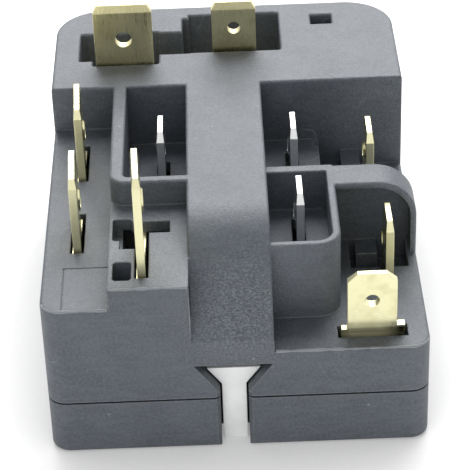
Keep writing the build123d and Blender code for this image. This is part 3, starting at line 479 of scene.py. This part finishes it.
# %% [markdown]
# ## Brass and tinned brass
# The blades are stamped from rolled brass strip. Rolling leaves the faces smooth, with fine streaks and a
# thin tarnish, while the shears leave the narrow edges rougher and cleaner. A sheared edge is told from a
# rolled face by its normal, which lies across the direction in which the strip is thin. A film of oxide
# scatters a little light there, and more on the bent foot of the line blade, where the press stretched the
# skin of the strip, so both are less metallic. The blades of the pins are the same strip under a coat of tin.

# %% Finish: sheet metal of the blades
SHEET_EDGE_RADIUS = 0.1 * MM
SHEET_PATTERNS = {"Streak Scale": cells_per_metre(0.15), "Spot Scale": cells_per_metre(1.6)}
SHEARED_NORMAL = (0.35, 0.75)
FACE_TARNISH, SHEARED_TARNISH = 0.5, 0.2
EDGE_CLEANING = 0.5
STREAK_ROUGHNESS = 0.1
SHEARED_EXTRA = 0.16
SHEARED_FILM = 0.15
BENT_FOOT = (12.6, -22.9, 11.9)
BENT_FOOT_REACH = (1.6, 3.4)
BENT_FILM = 0.5
SHEET_RELIEF_MM = 0.0015


def across(tree, axis):
    """Share that is 1 where the surface does not face along an axis, as on a sheared edge."""
    normal = tree.nodes.new("ShaderNodeNewGeometry").outputs["Normal"]
    parts = add_node(tree, "ShaderNodeSeparateXYZ", {"Vector": normal})
    return remap(tree, math_node(tree, "ABSOLUTE", parts.outputs[axis]), *SHEARED_NORMAL, 1.0, 0.0)


def sheet_metal(name, bright, dull, rough, thin_axis="X"):
    """Rolled strip: tarnished faces, and sheared edges that are cleaner and rougher."""
    material, tree, shader = new_finish(name)
    edges = use_group(tree, SOFT_EDGES, {"Radius": SHEET_EDGE_RADIUS, "Sharpness": 4.0})
    rolled = use_group(tree, ROLLED_SHEET, SHEET_PATTERNS)
    sheared = across(tree, thin_axis)
    tarnish = math_node(tree, "MULTIPLY", rolled.outputs["Tarnish"],
                        remap(tree, sheared, 0.0, 1.0, FACE_TARNISH, SHEARED_TARNISH))
    tarnish = math_node(tree, "SUBTRACT", tarnish,
                        math_node(tree, "MULTIPLY", edges.outputs["Edge"], EDGE_CLEANING), clamp=True)
    streaked = math_node(tree, "MULTIPLY_ADD", rolled.outputs["Streaks"], STREAK_ROUGHNESS,
                         rough - STREAK_ROUGHNESS / 2)
    bare = math_node(tree, "MULTIPLY_ADD", sheared, -SHEARED_FILM, 1.0)
    bent = math_node(tree, "MULTIPLY", near_point(tree, BENT_FOOT, *BENT_FOOT_REACH), BENT_FILM)
    fill_sockets(tree, shader, {
        "Base Color": blend_colour(tree, tarnish, bright, dull),
        "Roughness": math_node(tree, "MULTIPLY_ADD", sheared, SHEARED_EXTRA, streaked),
        "Metallic": math_node(tree, "SUBTRACT", bare, bent, clamp=True)})
    add_relief(tree, shader, rolled.outputs["Streaks"], SHEET_RELIEF_MM, strength=0.6,
               normal=edges.outputs["Normal"])
    return material


print("finish made:", sheet_metal.__doc__)


# %% Finishes: brass and tinned brass
BRASS_BRIGHT = (0.87, 0.835, 0.53, 1.0)
BRASS_DULL = (0.62, 0.57, 0.3, 1.0)
BRASS_AGED = (0.72, 0.67, 0.4, 1.0)
BRASS_OLD = (0.56, 0.5, 0.27, 1.0)
TIN_BRIGHT = (0.78, 0.79, 0.79, 1.0)
TIN_DULL = (0.5, 0.51, 0.5, 1.0)


def brass():
    """Rolled brass of the blades that stand edge on."""
    return sheet_metal("brass", BRASS_BRIGHT, BRASS_DULL, rough=0.2)


def brass_facing():
    """Rolled brass of the front blade, which faces the front."""
    return sheet_metal("brass facing", BRASS_BRIGHT, BRASS_DULL, rough=0.2, thin_axis="Y")


def brass_aged():
    """Darker, duller brass of the two rear blades, which face the front too."""
    return sheet_metal("brass aged", BRASS_AGED, BRASS_OLD, rough=0.3, thin_axis="Y")


def tinned_brass():
    """Brass strip under a thin coat of tin."""
    return sheet_metal("tinned brass", TIN_BRIGHT, TIN_DULL, rough=0.2)


print("finishes made:", brass.__doc__, brass_facing.__doc__, brass_aged.__doc__, tinned_brass.__doc__)

# %% [markdown]
# ## Inner pieces
# Nobody sees them with the case closed, but a part is also looked at piece by piece. The springs and the
# snap disc are satin steel, the contacts are polished silver, the starter disc is a fired ceramic with
# metallised faces, and the base of the protector is a brown-black phenolic.

# %% Finishes: ceramic, phenolic, steels and silver
CERAMIC_DARK, CERAMIC_LIGHT = (0.3, 0.28, 0.25, 1.0), (0.48, 0.46, 0.42, 1.0)
PHENOLIC_DARK, PHENOLIC_LIGHT = (0.05, 0.03, 0.022, 1.0), (0.11, 0.07, 0.05, 1.0)
SPRING_BRIGHT, SPRING_DULL = (0.56, 0.56, 0.54, 1.0), (0.42, 0.41, 0.38, 1.0)
PLATED_BRIGHT, PLATED_DULL = (0.62, 0.62, 0.6, 1.0), (0.46, 0.45, 0.4, 1.0)
SILVER_BRIGHT, SILVER_DULL = (0.86, 0.86, 0.84, 1.0), (0.6, 0.58, 0.52, 1.0)
GRAIN_IN_SPECKLE, CLOUDS_IN_SPECKLE = 0.6, 0.4
SPECKLE_ROUGHNESS = 0.15


def speckled(name, dark, light, rough, grain_mm, depth_mm):
    """A matt moulded or fired material with speckles."""
    material, tree, shader = new_finish(name, IOR=PLASTIC_IOR)
    grain = use_group(tree, MOULDED_GRAIN, {"Grain Scale": cells_per_metre(grain_mm),
                                            "Mottle Scale": cells_per_metre(grain_mm * 3.0),
                                            "Cloud Scale": cells_per_metre(grain_mm * 12.0)})
    mixed = math_node(tree, "MULTIPLY_ADD", grain.outputs["Grain"], GRAIN_IN_SPECKLE,
                      math_node(tree, "MULTIPLY", grain.outputs["Clouds"], CLOUDS_IN_SPECKLE))
    fill_sockets(tree, shader, {
        "Base Color": blend_colour(tree, mixed, dark, light),
        "Roughness": remap(tree, grain.outputs["Grain"], 0.0, 1.0, rough, rough + SPECKLE_ROUGHNESS)})
    add_relief(tree, shader, grain.outputs["Grain"], depth_mm)
    return material


def ceramic():
    """Fired starter disc."""
    return speckled("ceramic", CERAMIC_DARK, CERAMIC_LIGHT, rough=0.55, grain_mm=0.25, depth_mm=0.01)


def phenolic():
    """Base of the protector."""
    return speckled("phenolic", PHENOLIC_DARK, PHENOLIC_LIGHT, rough=0.4, grain_mm=0.3, depth_mm=0.006)


def spring_steel():
    """Springs and snap disc."""
    return sheet_metal("spring steel", SPRING_BRIGHT, SPRING_DULL, rough=0.3)


def plated_steel():
    """Stud, nut and heater ribbon."""
    return sheet_metal("plated steel", PLATED_BRIGHT, PLATED_DULL, rough=0.26, thin_axis="Z")


def contact_silver():
    """Contact rivets."""
    return sheet_metal("contact silver", SILVER_BRIGHT, SILVER_DULL, rough=0.2, thin_axis="Z")


print("inner finishes ready")

# %% [markdown]
# ## Dressing the nodes
# The record gives each node a material slot. Each slot gets the finish of the same name, made once, and it
# goes into the slots of the node's own object, so the shapes from the CAD stay as they are. The three brass
# blades that face the front are thin along Y, so they get the brass that was made for that direction, and the
# two at the back are duller than the rest.

# %% Give every node its finish
FINISHES = {"case_plastic": case_plastic(), "white_plastic": white_plastic(), "brass": brass(),
            "tinned_brass": tinned_brass(), "ceramic": ceramic(), "phenolic": phenolic(),
            "spring_steel": spring_steel(), "plated_steel": plated_steel(),
            "contact_silver": contact_silver()}
REAR_BRASS = brass_aged()
FACING_BLADES = {"wide_rear_terminal": REAR_BRASS, "narrow_rear_terminal": REAR_BRASS,
                 "line_terminal": brass_facing()}
SLOT_OF_NODE = {entry["node"]: entry["material_slot"] for entry in frame["record"]["subparts"]}
for node_name, node in nodes.items():
    finish = FACING_BLADES.get(node_name, FINISHES[SLOT_OF_NODE[node_name]])
    if not node.material_slots:
        node.data.materials.append(finish)
    for place in node.material_slots:
        place.material = finish
print("nodes dressed:", len(nodes))

# %% [markdown]
# ## Moulding flash
# A little plastic creeps into the seam between the halves of a mould and stays behind as a thin uneven ridge.
# On this relay it runs along the front edges of the three decks, round their outer corners and down the edge
# beside the nose, where it catches the lamp as a pale broken line. It follows a path and is never even, so it
# is made by Geometry Nodes: the paths are plain edges, they are cut into short steps, noise moves and
# thickens them, and a small circle is swept along them. The result is turned into a plain mesh, so nothing is
# left to be worked out later. The flash has the finish of the case with most of the lighter rubbed colour,
# which is a painted highlight along the ridge.

# %% Geometry group: flash along edges
RIDGE_SIDES = 8
WAVER_RANGE = (0.35, 0.65)
RIDGE_SHARES = (0.45, 1.0)


def flash_group():
    """Sweeps a thin uneven ridge along every edge of a mesh."""
    group, given, result = new_group(
        "moulding flash",
        {"Paths": ("NodeSocketGeometry", None), "Radius": ("NodeSocketFloat", 0.0001),
         "Step": ("NodeSocketFloat", 0.0002), "Wander": ("NodeSocketFloat", 0.00004),
         "Waver Scale": ("NodeSocketFloat", 1000.0), "Seed": ("NodeSocketInt", 3),
         "Finish": ("NodeSocketMaterial", None)},
        {"Ridge": "NodeSocketGeometry"}, "GeometryNodeTree")
    curve = add_node(group, "GeometryNodeMeshToCurve", {"Mesh": given.outputs["Paths"]})
    steps = add_node(group, "GeometryNodeResampleCurve",
                     {"Curve": curve.outputs["Curve"], "Length": given.outputs["Step"]}, mode="LENGTH")
    place = group.nodes.new("GeometryNodeInputPosition").outputs["Position"]
    waver = add_node(group, "ShaderNodeTexNoise", {"Vector": place, "W": given.outputs["Seed"],
                                                   "Scale": given.outputs["Waver Scale"]},
                     noise_dimensions="4D")
    about_zero = add_node(group, "ShaderNodeVectorMath", {0: waver.outputs["Color"], 1: (0.5, 0.5, 0.5)},
                          operation="SUBTRACT")
    aside = add_node(group, "ShaderNodeVectorMath", {0: about_zero.outputs["Vector"],
                                                     "Scale": given.outputs["Wander"]}, operation="SCALE")
    moved = add_node(group, "GeometryNodeSetPosition", {"Geometry": steps.outputs["Curve"],
                                                        "Offset": aside.outputs["Vector"]})
    circle = add_node(group, "GeometryNodeCurvePrimitiveCircle", {"Resolution": RIDGE_SIDES,
                                                                  "Radius": given.outputs["Radius"]})
    swept = add_node(group, "GeometryNodeCurveToMesh", {
        "Curve": moved.outputs["Geometry"], "Profile Curve": circle.outputs["Curve"],
        "Scale": remap(group, waver.outputs["Fac"], *WAVER_RANGE, *RIDGE_SHARES), "Fill Caps": True})
    smooth = add_node(group, "GeometryNodeSetShadeSmooth", {"Geometry": swept.outputs["Mesh"]})
    real = add_node(group, "GeometryNodeRealizeInstances", {"Geometry": smooth.outputs["Geometry"]})
    made = add_node(group, "GeometryNodeSetMaterial", {"Geometry": real.outputs["Geometry"],
                                                       "Material": given.outputs["Finish"]})
    group.links.new(made.outputs["Geometry"], result.inputs["Ridge"])
    return group


MOULDING_FLASH = flash_group()
print("group made:", MOULDING_FLASH.name)


# %% Flash on the deck edges and beside the nose
def corner_arc(x, y, z, radius, first, last, steps=6):
    """Points of a level arc about a corner's centre, between two angles in degrees."""
    turns = [math.radians(first + (last - first) * step / steps) for step in range(steps + 1)]
    return [(x + radius * math.cos(turn), y + radius * math.sin(turn), z) for turn in turns]


def grown_piece(name, group, paths, values):
    """A piece that a geometry group grows along paths of points, kept as a plain mesh."""
    corners, edges = [], []
    for points in paths:
        edges += [(len(corners) + step, len(corners) + step + 1) for step in range(len(points) - 1)]
        corners += points
    mesh = bpy.data.meshes.new(name + " paths")
    mesh.from_pydata([mm(*corner) for corner in corners], edges, [])
    piece = bpy.data.objects.new(name, mesh)
    bpy.context.scene.collection.objects.link(piece)
    modifier = piece.modifiers.new(group.name, "NODES")
    modifier.node_group = group
    for item in group.interface.items_tree:
        if item.item_type == "SOCKET" and item.in_out == "INPUT" and item.name in values:
            modifier[item.identifier] = values[item.name]
    grown = bpy.data.meshes.new_from_object(piece.evaluated_get(bpy.context.evaluated_depsgraph_get()))
    piece.modifiers.remove(modifier)
    piece.data = grown
    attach(piece, "root")
    print(name, "has", len(grown.polygons), "faces")


FRONT_EDGE_Y = -25.45
LEFT_DECK_Z, MID_DECK_Z, RIGHT_DECK_Z = 17.21, 19.56, 11.56
CORNER_X, CORNER_Y, CORNER_RADIUS = 16.85, -23.6, 1.85
LEFT_DECK_EDGE = corner_arc(-CORNER_X, CORNER_Y, LEFT_DECK_Z, CORNER_RADIUS, first=200.0, last=270.0)
LEFT_DECK_EDGE.append((-12.2, FRONT_EDGE_Y, LEFT_DECK_Z))
MID_DECK_EDGE = [(-12.0, FRONT_EDGE_Y, MID_DECK_Z), (-4.5, FRONT_EDGE_Y, MID_DECK_Z)]
RIGHT_DECK_EDGE = [(3.7, FRONT_EDGE_Y, RIGHT_DECK_Z)]
RIGHT_DECK_EDGE += corner_arc(CORNER_X, CORNER_Y, RIGHT_DECK_Z, CORNER_RADIUS, first=270.0, last=340.0)
NOSE_EDGE = [(-4.46, FRONT_EDGE_Y, 19.3), (-4.46, FRONT_EDGE_Y, 13.6)]
DECK_RIDGE_RADIUS, NOSE_RIDGE_RADIUS = 0.17 * MM, 0.07 * MM
# painted highlight: the flash takes most of the lighter rubbed colour, so the ridge shows as a pale line
FLASH_PAINTED_HIGHLIGHT = 0.8
FLASH = {"Step": 0.2 * MM, "Wander": 0.06 * MM, "Waver Scale": cells_per_metre(1.1), "Seed": 3,
         "Finish": case_plastic("flash plastic", FLASH_PAINTED_HIGHLIGHT)}
grown_piece("deck_flash", MOULDING_FLASH, [LEFT_DECK_EDGE, MID_DECK_EDGE, RIGHT_DECK_EDGE],
            dict(FLASH, Radius=DECK_RIDGE_RADIUS))
grown_piece("nose_flash", MOULDING_FLASH, [NOSE_EDGE], dict(FLASH, Radius=NOSE_RIDGE_RADIUS))

# %% [markdown]
# ## Floor, world and lamps
# The relay stands on a plain pale sheet under a soft lamp that hangs a little behind it, so that the upper
# faces shine. A larger and fainter lamp fills the front. It is kept out of reflections, where its image would
# whiten the metal. The sheet glows a little, which makes it white for the camera and lights the front from
# below, and an Ambient Occlusion node holds the glow back close to the relay, which keeps the contact shade.
# The Light Path node tells the kinds of ray apart, so that the background is white for the camera and the
# reflections and only a soft grey light for everything else.

# %% Floor
FLOOR_HALF = 1.5
FLOOR_SEEN = (0.55, 0.55, 0.55, 1.0)
FLOOR_LIT = (0.85, 0.85, 0.85, 1.0)
WHITE = (1.0, 1.0, 1.0, 1.0)
FLOOR_SHADE_SAMPLES = 8
FLOOR_SHADE_REACH = 0.022
FLOOR_SHADE_FROM = 0.45
FLOOR_SHADE_GLOW = 0.25
FLOOR_OPEN_GLOW = 0.7
GLOW_IN_MIRRORS = 0.7
GLOW_ON_RELAY = 1.1


def pale_floor():
    """A pale floor that glows, less so close to the relay."""
    mesh = bpy.data.meshes.new("floor")
    corners = [(x * FLOOR_HALF, y * FLOOR_HALF, 0.0) for x, y in ((-1, -1), (1, -1), (1, 1), (-1, 1))]
    mesh.from_pydata(corners, [], [(0, 1, 2, 3)])
    floor = bpy.data.objects.new("floor", mesh)
    bpy.context.scene.collection.objects.link(floor)
    material, tree, shader = new_finish("pale floor", Roughness=0.9)
    path = tree.nodes.new("ShaderNodeLightPath")
    mirrored = math_node(tree, "MAXIMUM", path.outputs["Is Glossy Ray"], path.outputs["Is Transmission Ray"])
    seen = math_node(tree, "MULTIPLY_ADD", mirrored, GLOW_IN_MIRRORS, path.outputs["Is Camera Ray"])
    seen = math_node(tree, "MULTIPLY_ADD", path.outputs["Is Diffuse Ray"], GLOW_ON_RELAY, seen)
    near = add_node(tree, "ShaderNodeAmbientOcclusion", {"Distance": FLOOR_SHADE_REACH},
                    samples=FLOOR_SHADE_SAMPLES)
    glow = remap(tree, near.outputs["AO"], FLOOR_SHADE_FROM, 1.0, FLOOR_SHADE_GLOW, FLOOR_OPEN_GLOW)
    fill_sockets(tree, shader, {
        "Base Color": blend_colour(tree, path.outputs["Is Diffuse Ray"], FLOOR_SEEN, FLOOR_LIT),
        "Emission Color": WHITE, "Emission Strength": math_node(tree, "MULTIPLY", seen, glow)})
    mesh.materials.append(material)


pale_floor()
print("floor made")


# %% World
WORLD_LIGHT = 0.28


def studio_world():
    """White for the camera and reflections, a soft grey light for everything else."""
    world = bpy.data.worlds.new("studio")
    world.use_nodes = True
    tree = world.node_tree
    tree.nodes.clear()
    path = tree.nodes.new("ShaderNodeLightPath")
    seen = math_node(tree, "MAXIMUM", path.outputs["Is Camera Ray"],
                     math_node(tree, "MAXIMUM", path.outputs["Is Glossy Ray"],
                               path.outputs["Is Transmission Ray"]))
    strength = remap(tree, seen, 0.0, 1.0, WORLD_LIGHT, 1.0)
    background = add_node(tree, "ShaderNodeBackground", {"Color": WHITE, "Strength": strength})
    add_node(tree, "ShaderNodeOutputWorld", {"Surface": background.outputs["Background"]})
    bpy.context.scene.world = world


studio_world()
print("world made")


# %% Lamps
LAMP_TARGET = (0.0, 0.0, 0.01)


def soft_lamp(name, place, size, watts):
    """A square soft box that looks at the relay, with its place and size in metres."""
    data = bpy.data.lights.new(name, "AREA")
    data.shape = "SQUARE"
    data.size = size
    data.energy = watts
    lamp = bpy.data.objects.new(name, data)
    bpy.context.scene.collection.objects.link(lamp)
    aim = (Vector(LAMP_TARGET) - Vector(place)).to_track_quat("-Z", "Y")
    lamp.matrix_world = Matrix.Translation(place) @ aim.to_matrix().to_4x4()
    return lamp


soft_lamp("top lamp", (0.03, 0.25, 0.29), size=0.36, watts=2.4)
front_lamp = soft_lamp("front lamp", (-0.3, -1.1, 0.75), size=1.4, watts=8.0)
front_lamp.visible_glossy = False
print("lamps made")

# %% [markdown] ## Finish The view transform is set to Standard, so that colours come out as they are
# written.

bpy.context.scene.view_settings.view_transform = "Standard"
